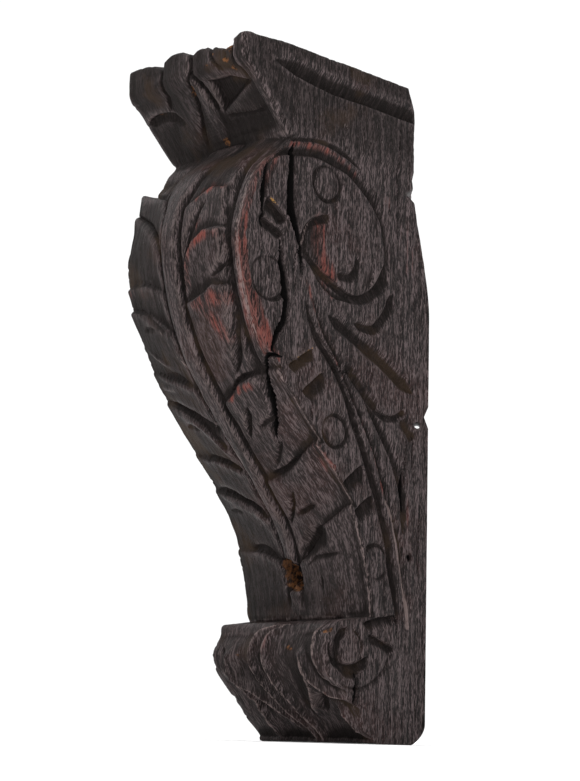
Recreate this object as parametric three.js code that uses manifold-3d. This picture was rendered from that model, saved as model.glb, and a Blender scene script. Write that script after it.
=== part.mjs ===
// A carved oak corbel bracket: one block, flat at the back, with a cap on top, a body that swells to a
// belly and falls in to an ankle, and a small rolled scroll at the foot. The front carries a leaf with a
// midrib; each side carries a studded strap that follows the front edge, and a volute. Millimetres, +Z up.
// The front faces -Y and the flat back lies on the plane y = 0, with the origin at the back's centre.
import * as THREE from "three";
import { mergeVertices } from "three/addons/utils/BufferGeometryUtils.js";
import Module from "manifold-3d";

const wasm = await Module();
wasm.setup();

// Driving dimensions. A reach is how far the front stands out from the flat back.
const HEIGHT = 422;
const WIDTH = 110;
const CAP_OVERHANG = 1.5;
const CAP_REACH = 171;
const CAP_FASCIA = 15;
const CAP_HEIGHT = 57;
const NECK_REACH = 132;
const BELLY_REACH = 162;
const ANKLE_REACH = 54;
const SCROLL_HEIGHT = 73;
const SCROLL_REACH = 92;
const LEDGE_REACH = 76;
const LEDGE_FALL = 3;
const FOOT_REACH = 50;

// Worn edges and losses
const ARRIS = 4;
const EDGE_WEAR = 2;
const BACK_WEAR = 1.5;
const WANE = 17.5;
const WANE_SLOPE = 1.05;
const NECK_LOSS = 8;
const SCROLL_LOSS = 5;

// The leaf on the front. The pitch is from one main cut to the next, down the middle of the leaf.
const CROWN = 14;
const RIB_WIDTH = 15;
const RIB_RISE = 2.5;
const RIB_GROOVE = 3.5;
const LEAF_PITCH = 62;
const LEAF_SLANT = 0.74;
const LOBE_RISE = 4;
const MAIN_CUT = 7;
const EYE_CUT = 4;
const RIM_WIDTH = 13;
const RIM_GROOVE = 5;
const EDGE_DROOP = 0.3;
const ROT_HOLE = 20;
const ROT_DEPTH = 16;
const CAP_SINK = 7;
const POST_WIDTH = 11;
const SCROLL_RIDGES = 4;
const RIDGE_RISE = 3;

// The strap and volute on each side
const STRAP_WIDTH = 43;
const STRAP_WIDTH_LOW = 28;
const STRAP_FILLET = 5.5;
const GROOVE_WIDTH = 5;
const GROOVE_DEPTH = 3.5;
const STUD_RADIUS = 10;
const BUTTON_RADIUS = 29;
const VOLUTE_START = 80;
const VOLUTE_RIM = 9;
const FLUTE_WIDTH = 9;
const FLUTE_DEPTH = 5;
const NOTCH_WIDTH = 7;
const NOTCH_DEPTH = 4;
const SCROLL_EYE = 12;
const CAP_GROOVE_WIDTH = 10;
const CAP_GROOVE_DEPTH = 6;
const CRACK_WIDTH = 4;
const CRACK_DEPTH = 16;
const NAIL_HOLE = 4;
const NAIL_DEPTH = 12;
const CORNER_HOLE_TURN = 0.75;

const HALF = WIDTH / 2;
const CAP_BOTTOM = HEIGHT - CAP_HEIGHT;
const clamp01 = (v) => Math.min(1, Math.max(0, v));
const ease = (from, to, v) => {
  const s = clamp01((v - from) / (to - from));
  return s * s * (3 - 2 * s);
};
const mix = THREE.MathUtils.lerp;

// The front profile as three curves, each of points (reach, height above the underside).
function capCurve() {
  const path = new THREE.CurvePath();
  const top = new THREE.Vector2(CAP_REACH, HEIGHT);
  const turn = new THREE.Vector2(CAP_REACH, HEIGHT - CAP_FASCIA);
  const neck = new THREE.Vector2(NECK_REACH, CAP_BOTTOM);
  const round = new THREE.Vector2(CAP_REACH, HEIGHT - CAP_FASCIA * 1.4);
  const slope = turn.clone().lerp(neck, 0.22);
  path.add(new THREE.LineCurve(top, turn));
  path.add(new THREE.QuadraticBezierCurve(turn, round, slope));
  path.add(new THREE.LineCurve(slope, neck));
  return path;
}

// Each step of the belly gives a share of the way from neck or ankle to the belly's full reach.
function bodyCurve() {
  const ankleHeight = SCROLL_HEIGHT + LEDGE_FALL;
  const bellyHeight = mix(SCROLL_HEIGHT, CAP_BOTTOM, 0.743);
  const above = [[1, 0], [0.89, 0.2], [0.73, 0.5], [0.47, 0.78]];
  const below = [[0.77, 0.86], [0.566, 0.583], [0.42, 0.333], [0.295, 0.157], [0.165, 0.06], [0, 0]];
  const point = (slim, low, high, [up, out]) =>
    new THREE.Vector2(mix(slim, BELLY_REACH, out), mix(low, high, up));
  return new THREE.SplineCurve([
    ...above.map((step) => point(NECK_REACH, bellyHeight, CAP_BOTTOM, step)),
    new THREE.Vector2(BELLY_REACH, bellyHeight),
    ...below.map((step) => point(ANKLE_REACH, ankleHeight, bellyHeight, step)),
  ]);
}

function scrollCurve() {
  const point = (reach, up) => new THREE.Vector2(reach, SCROLL_HEIGHT * up);
  const ankle = point(ANKLE_REACH, 1 + LEDGE_FALL / SCROLL_HEIGHT);
  const ledge = point(LEDGE_REACH, 1);
  const nose = point(SCROLL_REACH, 0.73);
  const shoulder = [point(mix(LEDGE_REACH, SCROLL_REACH, 0.6), 1), point(SCROLL_REACH, 0.86)];
  const chin = [point(SCROLL_REACH, 0.55), point(mix(FOOT_REACH, SCROLL_REACH, 0.29), 0.27)];
  const path = new THREE.CurvePath();
  path.add(new THREE.LineCurve(ankle, ledge));
  path.add(new THREE.CubicBezierCurve(ledge, ...shoulder, nose));
  path.add(new THREE.CubicBezierCurve(nose, ...chin, point(FOOT_REACH, 0)));
  return path;
}

const CAP = capCurve();
const BODY = bodyCurve();
const SCROLL = scrollCurve();
const BODY_LENGTH = BODY.getLength();
const LEAFLET = LEAF_PITCH / 2;
const LEAFLET_START = 0.45;

// A place on a profile curve: the point, and the direction that faces out of the wood.
function onProfile(curve, share) {
  const at = clamp01(share);
  const p = curve.getPointAt(at);
  const tangent = curve.getTangentAt(at);
  return { reach: p.x, up: p.y, outReach: -tangent.y, outUp: tangent.x };
}

// Half the leaf's midrib, which widens to a stem at the neck and tapers to the foot.
const ribHalf = (t) =>
  RIB_WIDTH / 2 * (mix(1, 0.4, t / BODY_LENGTH) + 0.5 * (1 - ease(0, BODY_LENGTH * 0.2, t)));
const leafFade = (t) =>
  ease(BODY_LENGTH * 0.07, BODY_LENGTH * 0.16, t) * (1 - ease(BODY_LENGTH * 0.93, BODY_LENGTH, t));

// Lift along one leaflet, by its phase: a cut at 0, the proud tip just below it, and a fall to the next cut.
function leafletLift(phase, cut) {
  if (phase < 0.12) return mix(-cut, LOBE_RISE, phase / 0.12);
  if (phase < 0.9) return mix(LOBE_RISE, -0.4 * LOBE_RISE, (phase - 0.12) / 0.78);
  return mix(-0.4 * LOBE_RISE, -cut, (phase - 0.9) / 0.1);
}

// Lift of the body's front over its profile, at t down the curve's length and x across.
// q runs down the middle of the leaf, and is the same all along one slanting leaflet.
function bodyLift(t, x, q) {
  const u = Math.abs(x);
  const swell = ease(0, BODY_LENGTH * 0.17, t) * mix(1, 0.55, ease(BODY_LENGTH * 0.6, BODY_LENGTH, t));
  const crown = CROWN * (1 - (u / HALF) ** 2) * swell;
  const rib = ribHalf(t);
  const stem = u < rib ? RIB_RISE * Math.sqrt(1 - (u / rib) ** 2) : 0;
  const groove = -RIB_GROOVE * Math.max(0, 1 - Math.abs(u - rib - 3) / 3) * leafFade(t);
  const leaflets = q / LEAFLET - LEAFLET_START;
  const count = Math.floor(leaflets);
  const cut = (count % 2 === 0) === (x > 0) ? MAIN_CUT : EYE_CUT;
  const outer = x > 0 ? HALF - RIM_WIDTH - 2 : HALF;
  const across = clamp01((u - rib - 4) / (outer - rib - 4));
  const spread = x > 0 ? Math.sin(Math.PI * across ** 0.8) : Math.sin(Math.PI * 0.75 * across);
  const leaflet = leafletLift(leaflets - count, cut) * Math.max(0, spread) * leafFade(t);
  const rimFade = x > 0 ? leafFade(t) * (1 - ease(BODY_LENGTH * 0.55, BODY_LENGTH * 0.8, t)) : 0;
  const rim = -RIM_GROOVE * Math.max(0, 1 - Math.abs(u - HALF + RIM_WIDTH) / 5) * rimFade;
  const droop = x > 0 ? EDGE_DROOP * (1 - rimFade) : 0;
  const chamfer = -droop * Math.max(0, u - HALF * 0.65);
  return crown + stem + groove + leaflet + rim + chamfer;
}

// The cap's front is a row of upright leaves. Each is a bulge with its own centre line, width and lift.
const CAP_LEAVES = [
  { top: -0.85, low: -0.6, half: 0.5, lift: 6 },
  { top: -0.08, low: -0.3, half: 0.27, lift: 5 },
  { top: 0.12, low: 0.05, half: 0.12, lift: 4 },
  { top: 0.42, low: 0.3, half: 0.24, lift: 2.5 },
];
function capLift(s, x) {
  const a = x / HALF;
  let lift = 0;
  for (const leaf of CAP_LEAVES) {
    const off = (a - mix(leaf.top, leaf.low, s)) / leaf.half;
    lift = Math.max(lift, leaf.lift * (1 - off * off));
  }
  const post = ease(HALF - POST_WIDTH - 3, HALF - POST_WIDTH, x);
  return mix(lift - CAP_SINK, 0, post) * (1 - ease(0.8, 1, s));
}

// The roll at the foot carries slanting leaf ridges.
function scrollLift(s, x) {
  const wave = Math.cos(Math.PI * 2 * (x / WIDTH * SCROLL_RIDGES - 0.5 * s));
  return RIDGE_RISE * (wave - 0.3) * ease(0.12, 0.3, s) * (1 - ease(0.9, 1, s));
}

// Rows of the block, from the top down. Each knows its curve, and body rows slant along the leaflets.
// The first and last rows lie inside the others by the wear of the edges.
const CAP_ROWS = [0, 0.03, 0.12, 0.2, 0.28, 0.38, 0.48, 0.58, 0.68, 0.8, 0.9];
const SCROLL_ROWS = [0.12, 0.24, 0.31, 0.38, 0.46, 0.54, 0.62, 0.72, 0.84, 0.975, 1];
const LEAFLET_ROWS = [0, 0.12, 0.5, 0.9];
function rows() {
  const made = CAP_ROWS.map((s) => ({ curve: CAP, s, kind: "cap" }));
  const bodyRow = (q) => made.push({ curve: BODY, s: q / BODY_LENGTH, q, kind: "body" });
  bodyRow(0);
  bodyRow(BODY_LENGTH * 0.03);
  for (let k = LEAFLET_START; k * LEAFLET < BODY_LENGTH; k++) {
    const places = LEAFLET_ROWS.map((phase) => (k + phase) * LEAFLET);
    places.filter((q) => q < BODY_LENGTH * 0.985).forEach(bodyRow);
  }
  bodyRow(BODY_LENGTH);
  for (const s of SCROLL_ROWS) made.push({ curve: SCROLL, s, kind: "scroll" });
  made[0].inset = made.at(-1).inset = EDGE_WEAR;
  return made;
}

// How far a body row climbs at x, so that rows run along the leaflets and are level at both ends.
function slantAt(row, x) {
  if (row.kind !== "body") return 0;
  const level = ease(0, 0.3, row.s) * (1 - ease(0.8, 1, row.s));
  return LEAF_SLANT * Math.max(0, Math.abs(x) - RIB_WIDTH / 2) * level;
}

function frontPlace(row, x) {
  const s = row.s - slantAt(row, x) / BODY_LENGTH;
  const place = onProfile(row.curve, s);
  if (row.kind === "cap") place.lift = capLift(s, x);
  else if (row.kind === "body") place.lift = bodyLift(s * BODY_LENGTH, x, row.q);
  else place.lift = scrollLift(s, x);
  return place;
}

// Half the block's width at a height, on the side given by its sign. The hidden left end is more worn.
function halfWidth(up, side) {
  const cap = CAP_OVERHANG * ease(CAP_BOTTOM - 4, CAP_BOTTOM + 2, up);
  if (side > 0) return HALF + cap;
  const neck = NECK_LOSS * Math.exp(-(((up - CAP_BOTTOM + 8) / 16) ** 2));
  const scroll = SCROLL_LOSS * (1 - ease(SCROLL_HEIGHT - 8, SCROLL_HEIGHT + 8, up));
  return HALF + cap - neck - scroll;
}

// Wood lost along the right back edge, deepest at the top and gone a little above mid height.
const waneAt = (up) => BACK_WEAR + WANE * ease(HEIGHT * 0.635, HEIGHT * 0.88, up);

// Columns of the front, as shares of half the width between the rounded edges
const COLUMNS = [0, 0.08, 0.15, 0.21, 0.3, 0.42, 0.54, 0.66, 0.76, 0.84, 0.92, 1];
const FRONT = [...COLUMNS.slice(1).reverse().map((c) => -c), ...COLUMNS];

// One closed row of points round the block, from the left front edge to the right and back round behind.
function rowPoints(row) {
  const points = [];
  const inset = row.inset ?? 0;
  const add = (x, reach, up) =>
    points.push(new THREE.Vector3(x * (1 - inset / HALF), Math.min(0, inset - reach), up - HEIGHT / 2));
  for (const c of FRONT) {
    const x = c * (halfWidth(onProfile(row.curve, row.s).up, Math.sign(c)) - ARRIS);
    const p = frontPlace(row, c * (HALF - ARRIS));
    add(x, p.reach + p.lift * p.outReach, p.up + p.lift * p.outUp);
  }
  const edge = frontPlace(row, HALF - ARRIS);
  const right = halfWidth(edge.up, 1);
  const left = halfWidth(edge.up, -1);
  const wane = waneAt(edge.up);
  const turn = ARRIS * (1 - Math.SQRT1_2);
  const front = edge.reach + Math.min(0, edge.lift * edge.outReach);
  add(right - turn, front - turn, edge.up);
  add(right, front - ARRIS, edge.up);
  add(right, wane, edge.up);
  add(right - wane * WANE_SLOPE, 0, edge.up);
  add(-left + BACK_WEAR, 0, edge.up);
  add(-left, BACK_WEAR, edge.up);
  add(-left, front - ARRIS, edge.up);
  add(-left + turn, front - turn, edge.up);
  return points;
}

// A closed mesh over rows of points, each end shut by a fan from its middle.
function skin(rings) {
  const count = rings[0].length;
  const vertices = rings.flat();
  const faces = [];
  for (let r = 0; r + 1 < rings.length; r++)
    for (let c = 0; c < count; c++) {
      const next = (c + 1) % count;
      const [a, b] = [r * count + c, r * count + next];
      const [d, e] = [a + count, b + count];
      faces.push(a, d, b, b, d, e);
    }
  const shut = (ring, first, turned) => {
    const middle = ring.reduce((sum, p) => sum.add(p), new THREE.Vector3()).divideScalar(count);
    vertices.push(middle);
    for (let c = 0; c < count; c++) {
      const [a, b] = [first + c, first + (c + 1) % count];
      if (turned) faces.push(vertices.length - 1, b, a);
      else faces.push(vertices.length - 1, a, b);
    }
  };
  shut(rings[0], 0, false);
  shut(rings.at(-1), (rings.length - 1) * count, true);
  const geometry = new THREE.BufferGeometry().setFromPoints(vertices);
  geometry.setIndex(faces);
  return geometry;
}

function solidOf(geometry) {
  const bare = geometry.clone();
  bare.deleteAttribute("normal");
  bare.deleteAttribute("uv");
  const merged = mergeVertices(bare, 1e-4);
  return new wasm.Manifold(new wasm.Mesh({
    numProp: 3,
    vertProperties: merged.attributes.position.array,
    triVerts: new Uint32Array(merged.index.array),
  }));
}

function geometryOf(solid) {
  const mesh = solid.getMesh();
  const geometry = new THREE.BufferGeometry();
  geometry.setAttribute("position", new THREE.BufferAttribute(new Float32Array(mesh.vertProperties), 3));
  geometry.setIndex(new THREE.BufferAttribute(new Uint32Array(mesh.triVerts), 1));
  return geometry;
}

// A place on a side face, from its reach and height: the point and the direction out of the wood.
function sidePlace(side, reach, up) {
  return {
    point: new THREE.Vector3(side * halfWidth(up, side), -reach, up - HEIGHT / 2),
    out: new THREE.Vector3(side, 0, 0),
  };
}

// A place on the body's front, from its share of the length and its x.
function frontPoint(s, x) {
  const place = onProfile(BODY, s);
  const t = s * BODY_LENGTH;
  const lift = bodyLift(t, x, t + slantAt({ kind: "body", s }, x));
  const out = new THREE.Vector3(0, -place.outReach, place.outUp);
  const point = new THREE.Vector3(x, -place.reach, place.up - HEIGHT / 2).addScaledVector(out, lift);
  return { point, out };
}

const steps = (count) => Array.from({ length: count + 1 }, (_, k) => k / count);

// A V tool run along places on a face, swelling from a point at each end unless that end runs out blunt.
const CLEAR = 2;
function gouge(places, width, depth, { bluntStart = false, bluntEnd = false } = {}) {
  const last = places.length - 1;
  const vertices = [];
  places.forEach(({ point, out }, k) => {
    const [before, after] = [places[Math.max(k - 1, 0)].point, places[Math.min(k + 1, last)].point];
    const across = after.clone().sub(before).cross(out).normalize();
    const fromStart = bluntStart ? 1 : Math.min(1, (3 * k + 0.2) / last);
    const fromEnd = bluntEnd ? 1 : Math.min(1, (3 * (last - k) + 0.2) / last);
    const swell = Math.sqrt(fromStart * fromEnd);
    const mouth = (width / 2) * swell * (1 + CLEAR / (depth * swell));
    vertices.push(point.clone().addScaledVector(across, mouth).addScaledVector(out, CLEAR));
    vertices.push(point.clone().addScaledVector(across, -mouth).addScaledVector(out, CLEAR));
    vertices.push(point.clone().addScaledVector(out, -depth * swell));
  });
  const faces = [0, 1, 2, 3 * last, 3 * last + 2, 3 * last + 1];
  for (let k = 0; k < last; k++)
    for (let c = 0; c < 3; c++) {
      const [a, b] = [3 * k + c, 3 * k + ((c + 1) % 3)];
      faces.push(a, a + 3, b, b, a + 3, b + 3);
    }
  const geometry = new THREE.BufferGeometry().setFromPoints(vertices);
  geometry.setIndex(faces);
  return solidOf(geometry);
}

// A ring groove round a stud or an eye, cut square to a side face.
function ringGroove(side, reach, up, radius, width, depth) {
  const mouth = (width / 2) * (1 + CLEAR / depth);
  const [inner, outer] = [radius - mouth, radius + mouth];
  const section = [[inner, CLEAR], [radius, -depth], [outer, CLEAR], [inner, CLEAR]];
  const geometry = new THREE.LatheGeometry(section.map(([x, y]) => new THREE.Vector2(x, y)), 14);
  const { point } = sidePlace(side, reach, up);
  geometry.rotateZ(side > 0 ? -Math.PI / 2 : Math.PI / 2).translate(point.x, point.y, point.z);
  return solidOf(geometry);
}

// The strap: its width along the body, and a place on it by share of length and share of width.
const strapWidth = (s) => mix(STRAP_WIDTH, STRAP_WIDTH_LOW, ease(0.6, 0.77, s));
function strapPlace(side, s, inset) {
  const edge = onProfile(BODY, s);
  return sidePlace(side, edge.reach - inset * edge.outReach, edge.up - inset * edge.outUp);
}
const strapLine = (side, from, to, count, insetAt) =>
  steps(count).map((k) => mix(from, to, k)).map((s) => strapPlace(side, s, insetAt(s)));

const STUDS = [0.315, 0.65, 0.887];
const NOTCHES = [
  [0.155, 0.33, 0.73], [0.19, 0.26, 0.72], [0.495, 0.19, 0.77], [0.552, 0.3, 0.75],
  [0.737, 0.06, 0.84], [0.79, 0.06, 0.87], [0.965, 0.06, 0.92],
];
function strapCuts(side) {
  const filletAt = (s) => strapWidth(s) + STRAP_FILLET;
  const outerAt = (s) => STRAP_WIDTH * mix(1.25, 0.95, ease(0.63, 0.86, s));
  const cuts = [
    gouge(strapLine(side, 0.37, 0.995, 13, strapWidth), GROOVE_WIDTH, GROOVE_DEPTH),
    gouge(strapLine(side, 0.37, 0.99, 13, filletAt), GROOVE_WIDTH * 0.6, GROOVE_DEPTH * 0.6),
    gouge(strapLine(side, 0.635, 0.86, 7, outerAt), GROOVE_WIDTH, GROOVE_DEPTH),
  ];
  for (const s of STUDS) {
    const { point } = strapPlace(side, s, strapWidth(s) * 0.46);
    const [width, depth] = [GROOVE_WIDTH * 0.8, GROOVE_DEPTH * 0.8];
    cuts.push(ringGroove(side, -point.y, point.z + HEIGHT / 2, STUD_RADIUS, width, depth));
  }
  for (const [s, from, to] of NOTCHES) {
    const ends = [from, to].map((share) => strapPlace(side, s, share * strapWidth(s)));
    const middle = strapPlace(side, s + 0.004, (from + to) / 2 * strapWidth(s));
    cuts.push(gouge([ends[0], middle, ends[1]], NOTCH_WIDTH, NOTCH_DEPTH));
  }
  return cuts;
}

// The volute: a groove that winds in from the front edge, over the top and round its button.
const VOLUTE_REACH = 0.494;
const VOLUTE_UP = 0.704;
const VOLUTE_OPEN = 0.58;
const VOLUTE_CLOSE = 7.5;
const windIn = (angle) => mix(BUTTON_RADIUS, VOLUTE_START, Math.exp(-0.62 * (angle - VOLUTE_OPEN)));
const arc = (side, reach, up, from, to, count, radiusAt) =>
  steps(count).map((k) => {
    const angle = mix(from, to, k);
    const radius = radiusAt(angle);
    return sidePlace(side, reach + radius * Math.cos(angle), up + radius * Math.sin(angle));
  });
const voluteLine = (side, from, to, count, radiusAt) =>
  arc(side, BELLY_REACH * VOLUTE_REACH, HEIGHT * VOLUTE_UP, from, to, count, radiusAt);

const EYE_AT = { reach: 0.599, up: 0.81 };
const FLUTES = [
  { from: [0.556, 0.609], to: [0.105, 0.524] },
  { from: [0.463, 0.54], to: [0.296, 0.486] },
];
function voluteCuts(side) {
  const rimAt = (angle) => windIn(angle) + VOLUTE_RIM;
  const collarAt = (angle) => windIn(angle) + BUTTON_RADIUS * 0.25;
  const cuts = [
    gouge(voluteLine(side, VOLUTE_OPEN, VOLUTE_CLOSE, 28, windIn), GROOVE_WIDTH, GROOVE_DEPTH * 1.2),
    gouge(voluteLine(side, 0.9, 2.6, 8, rimAt), GROOVE_WIDTH * 0.8, GROOVE_DEPTH * 0.7),
    gouge(voluteLine(side, 3.2, 5.5, 9, collarAt), GROOVE_WIDTH, GROOVE_DEPTH),
    gouge(voluteLine(side, 3.5, 4.5, 6, () => BUTTON_RADIUS * 1.65), GROOVE_WIDTH * 1.2, GROOVE_DEPTH),
    gouge(voluteLine(side, 4, 4.75, 4, () => BUTTON_RADIUS * 0.42), GROOVE_WIDTH, GROOVE_DEPTH),
    ringGroove(side, BELLY_REACH * EYE_AT.reach, HEIGHT * EYE_AT.up, STUD_RADIUS, GROOVE_WIDTH, GROOVE_DEPTH),
  ];
  for (const { from, to } of FLUTES) {
    const places = steps(6).map((k) => [mix(from[0], to[0], k), mix(from[1], to[1], k)])
      .map(([reach, up]) => sidePlace(side, BELLY_REACH * reach, HEIGHT * up));
    cuts.push(gouge(places, FLUTE_WIDTH, FLUTE_DEPTH));
  }
  return cuts;
}

// The sunk line along the cap, and the eye of the lower scroll with the arc round it
const CAP_LINE = { front: 0.82, up: 18 };
function capCuts(side) {
  const up = HEIGHT - CAP_LINE.up;
  const places = steps(5).map((k) => sidePlace(side, mix(CAP_REACH * CAP_LINE.front, -CLEAR, k), up));
  return [gouge(places, CAP_GROOVE_WIDTH, CAP_GROOVE_DEPTH, { bluntEnd: true })];
}
function scrollCuts(side) {
  const [reach, up] = [SCROLL_REACH * 0.728, SCROLL_HEIGHT * 0.78];
  const sweep = arc(side, SCROLL_REACH * 0.63, SCROLL_HEIGHT * 0.85, 3.5, 5.9, 8, () => SCROLL_EYE * 2.3);
  return [
    ringGroove(side, reach, up, SCROLL_EYE, GROOVE_WIDTH, GROOVE_DEPTH),
    gouge(sweep, GROOVE_WIDTH, GROOVE_DEPTH * 0.7),
  ];
}

// Losses: drying cracks on the right side and over its front edge, a rot hole at the leaf's foot, nail
// holes, and bites out of the right back edge. Places are shares of the belly's reach and of the height.
const SIDE_CRACKS = [
  [[0.76, 0.855], [0.785, 0.746], [0.81, 0.706], [0.84, 0.652], [0.81, 0.604], [0.858, 0.526], [0.84, 0.5]],
  [[0.915, 0.82], [0.92, 0.73]],
  [[0.76, 0.73], [0.73, 0.7], [0.715, 0.65]],
];
const FRONT_CRACK = [[0.45, 1], [0.51, 0.84], [0.57, 0.75], [0.6, 0.62]];
const NAIL_AT = [0.105, 0.272];
const CORNER_HOLE_AT = [0.074, 0.474];
const BITES = [[0.12, 0.83], [0, 0.49]];
function through(list, count, placeAt) {
  const curve = new THREE.CatmullRomCurve3(list.map(([a, b]) => new THREE.Vector3(a, b, 0)));
  return curve.getPoints(count).map((p) => placeAt(p.x, p.y));
}
function losses() {
  const onSide = (reach, up) => sidePlace(1, BELLY_REACH * reach, HEIGHT * up);
  const onFront = (s, share) => frontPoint(s, share * HALF);
  const sideRuns = SIDE_CRACKS.map((list) => through(list, list.length * 2, onSide));
  const cuts = sideRuns.map((run) => gouge(run, CRACK_WIDTH, CRACK_DEPTH));
  cuts.push(gouge(through(FRONT_CRACK, 9, onFront), CRACK_WIDTH, CRACK_DEPTH * 0.6));
  const rot = new THREE.SphereGeometry(1, 12, 8).scale(ROT_HOLE * 0.3, ROT_DEPTH, ROT_HOLE * 0.65);
  const rotAt = frontPoint(0.897, 0).point;
  cuts.push(solidOf(rot.translate(rotAt.x, rotAt.y, rotAt.z)));
  const hole = (length, turn, reach, up) =>
    new THREE.CylinderGeometry(NAIL_HOLE / 2, NAIL_HOLE / 2, length, 10).rotateZ(Math.PI / 2 - turn)
      .translate(HALF, -BELLY_REACH * reach, HEIGHT * (up - 0.5));
  const nail = hole(NAIL_DEPTH * 2, 0, ...NAIL_AT);
  const corner = hole(WIDTH, CORNER_HOLE_TURN, ...CORNER_HOLE_AT);
  cuts.push(solidOf(nail), solidOf(corner));
  for (const [reach, up] of BITES) {
    const bite = new THREE.SphereGeometry(STUD_RADIUS / 2, 8, 6);
    cuts.push(solidOf(bite.translate(HALF + 1, -BELLY_REACH * reach, HEIGHT * (up - 0.5))));
  }
  return cuts;
}

const block = solidOf(skin(rows().map(rowPoints)));
const carving = [1, -1].flatMap((side) =>
  [strapCuts, voluteCuts, capCuts, scrollCuts].flatMap((cutsFor) => cutsFor(side)));
const carved = [...carving, ...losses()].reduce((solid, cut) => solid.subtract(cut), block);

const oak = new THREE.MeshStandardMaterial({ color: 0x2a201d, roughness: 0.62, metalness: 0 });
const corbel = new THREE.Mesh(geometryOf(carved), oak);
corbel.name = "carved_oak_corbel";

const bracket = new THREE.Group();
bracket.add(corbel);
export default bracket;
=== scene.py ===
# %% [markdown]
# # An old carved oak corbel
#
# A corbel is a bracket of wood or stone that carries a beam, a shelf or a cornice off a wall. This one
# was cut from a single upright block of oak: a cap, a body that swells and falls in like an S, and a
# small roll at the foot. The front is carved as a long leaf and each side as a studded strap round a
# volute. Wax, smoke and handling have turned it nearly black, and the proud edges are rubbed back to
# a mahogany red. Everything here is one piece of wood, so it is one mesh.

# %% Frame
import math

import bpy
import numpy as np
from mathutils import Matrix, Vector


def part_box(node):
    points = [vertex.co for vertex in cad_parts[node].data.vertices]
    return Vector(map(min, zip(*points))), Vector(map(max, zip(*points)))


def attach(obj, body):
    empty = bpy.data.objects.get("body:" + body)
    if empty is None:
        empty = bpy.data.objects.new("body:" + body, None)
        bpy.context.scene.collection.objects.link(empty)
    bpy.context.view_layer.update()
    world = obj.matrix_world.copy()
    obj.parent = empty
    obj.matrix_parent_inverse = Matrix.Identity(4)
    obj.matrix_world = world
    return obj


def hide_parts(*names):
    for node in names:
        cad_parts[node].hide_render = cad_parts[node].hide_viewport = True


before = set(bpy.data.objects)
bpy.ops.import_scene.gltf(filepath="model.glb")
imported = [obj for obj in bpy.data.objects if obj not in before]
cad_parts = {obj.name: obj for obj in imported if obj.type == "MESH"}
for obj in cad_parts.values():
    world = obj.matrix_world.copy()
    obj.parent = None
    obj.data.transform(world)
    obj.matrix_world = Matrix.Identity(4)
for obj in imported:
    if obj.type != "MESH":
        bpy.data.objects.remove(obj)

NODE = "carved_oak_corbel"
low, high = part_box(NODE)
box_low, box_high = (np.array(corner) * 1000 for corner in (low, high))
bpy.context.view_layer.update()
print("solid from", box_low.round(1), "to", box_high.round(1), "mm")

# %% [markdown]
# ## Sizes
#
# The drawing works in millimetres, with heights counted up from the underside and reach from the back.
# The mesh is turned into metres at the very end.

# %% Sizes
HEIGHT = box_high[2] - box_low[2]
WIDTH = 110
HALF = WIDTH / 2
CAP_OVERHANG = box_high[0] - HALF
CAP_BOTTOM = HEIGHT - 57
CAP_REACH, NECK_REACH, BELLY_REACH, ANKLE_REACH = 171, 132, 162, 54
SCROLL_HEIGHT, SCROLL_REACH, LEDGE_REACH, FOOT_REACH, LEDGE_FALL = 73, 92, 76, 50, 3
BELLY_HEIGHT = SCROLL_HEIGHT + 0.743 * (CAP_BOTTOM - SCROLL_HEIGHT)
CROWN = 14
ARRIS = 4
STEP = 1.0
TRIANGLES = 186_000
print("block", WIDTH, "mm wide, belly fullest at", round(BELLY_HEIGHT, 1), "mm up")


def unit(value):
    return np.clip(value, 0, 1)


def ease(start, end, value):
    share = unit((value - start) / (end - start))
    return share * share * (3 - 2 * share)


def mix(a, b, share):
    return a + (b - a) * share


# %% [markdown]
# ## The outline seen from the side
#
# The block was first sawn to this outline. It is drawn as three runs, each from the top down: the cap
# with its upright fascia and raked underside, the body, and the ledge with the roll below it.

# %% Outline
def spline(points, per=40):
    """A smooth line through points, with per places from each point to the next."""
    ends = np.array([points[0], *points, points[-1]], float)
    u = np.linspace(0, 1, per, endpoint=False)[:, None]
    runs = []
    for a, b, c, d in zip(ends, ends[1:], ends[2:], ends[3:]):
        leave, arrive = (c - a) / 2, (d - b) / 2
        place = (2 * u**3 - 3 * u**2 + 1) * b + (3 * u**2 - 2 * u**3) * c
        runs.append(place + (u**3 - 2 * u**2 + u) * leave + (u**3 - u**2) * arrive)
    return np.vstack([*runs, ends[-1:]])


def bezier(points, count=60):
    u = np.linspace(0, 1, count)[:, None]
    level = [np.array(p, float) for p in points]
    while len(level) > 1:
        level = [a * (1 - u) + b * u for a, b in zip(level, level[1:])]
    return level[0]


def evenly(points, step):
    """Places at even steps along a line, the way out of the wood at each, and the length run so far."""
    run = np.concatenate([[0], np.cumsum(np.hypot(*np.diff(points, axis=0).T))])
    at = np.linspace(0, run[-1], max(3, round(run[-1] / step) + 1))
    place = np.stack([np.interp(at, run, points[:, k]) for k in (0, 1)], 1)
    way = np.gradient(place, axis=0)
    way /= np.hypot(*way.T)[:, None]
    return place, np.stack([-way[:, 1], way[:, 0]], 1), at


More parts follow.
